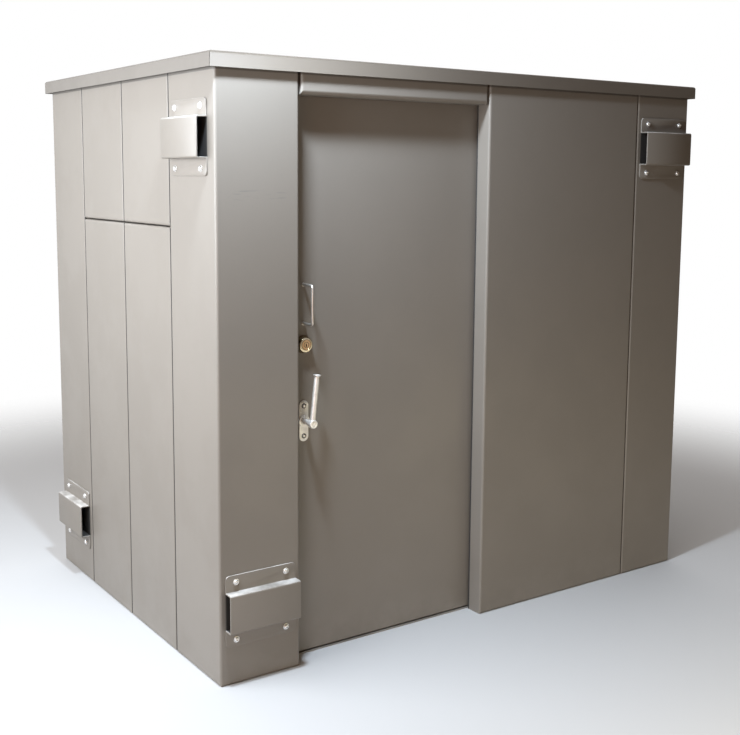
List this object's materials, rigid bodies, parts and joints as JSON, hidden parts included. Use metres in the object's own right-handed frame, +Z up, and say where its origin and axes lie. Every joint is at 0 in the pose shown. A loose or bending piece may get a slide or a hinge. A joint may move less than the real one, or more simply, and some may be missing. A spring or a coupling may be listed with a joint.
{
  "type": "storm shelter",
  "caption": "Walk-in storm shelter of folded steel panels with a pan roof, covered wall vents and a recessed door that swings into the room.",
  "frame": {"origin": "on the ground under the middle of the building's outline, vent covers included", "axes": "+Z up, the front wall with the door faces -Y, +X to the right seen from in front"},
  "size_m": [2.166, 1.488, 1.951],
  "materials": {
    "wall_paint": "satin warm grey powder coat",
    "side_paint": "satin warm grey powder coat",
    "roof_paint": "satin warm grey powder coat",
    "cover_paint": "satin warm grey powder coat",
    "door_paint": "satin warm grey powder coat",
    "frame_paint": "satin warm grey powder coat",
    "hinge_steel": "plain steel",
    "handle_steel": "plain steel bar",
    "satin_nickel": "satin nickel",
    "lock_brass": "worn satin brass"
  },
  "bodies": {
    "shell": {"corner_front_left": "wall_paint", "corner_front_right": "wall_paint", "corner_rear_left": "wall_paint", "corner_rear_right": "wall_paint", "front_panel": "wall_paint", "door_header": "wall_paint", "door_sill": "frame_paint", "rear_panel_left": "wall_paint", "rear_panel_right": "wall_paint", "left_lower_front": "side_paint", "left_lower_rear": "side_paint", "left_upper_front": "side_paint", "left_upper_rear": "side_paint", "right_lower_front": "side_paint", "right_lower_rear": "side_paint", "right_upper_front": "side_paint", "right_upper_rear": "side_paint", "roof_cap": "roof_paint", "vent_front_low": "cover_paint", "vent_front_high": "cover_paint", "vent_right_low": "cover_paint", "vent_right_high": "cover_paint", "vent_rear_low": "cover_paint", "vent_rear_high": "cover_paint", "vent_left_low": "cover_paint", "vent_left_high": "cover_paint", "hinge_post": "frame_paint", "strike_post": "frame_paint", "hinge_frame_plates": "hinge_steel"},
    "door": {"door_leaf": "door_paint", "door_ribs": "frame_paint", "lock_case": "frame_paint", "hinge_door_plates": "hinge_steel", "pull_handle": "handle_steel", "lock_cylinder": "lock_brass", "lever_plate": "satin_nickel", "inner_lever_plate": "satin_nickel"},
    "lever": {"lever_handle": "satin_nickel", "inner_lever": "satin_nickel"}
  },
  "joints": [
    {"name": "door_hinge", "type": "hinge", "parent": "shell", "child": "door", "pos_m": [0.0385, -0.584, 0.94], "axis": [0, 0, -1], "range_deg": [0, 100]},
    {"name": "lever_turn", "type": "hinge", "parent": "door", "child": "lever", "pos_m": [-0.698, -0.632, 0.798], "axis": [0, 1, 0], "range_deg": [0, 85]}
  ]
}
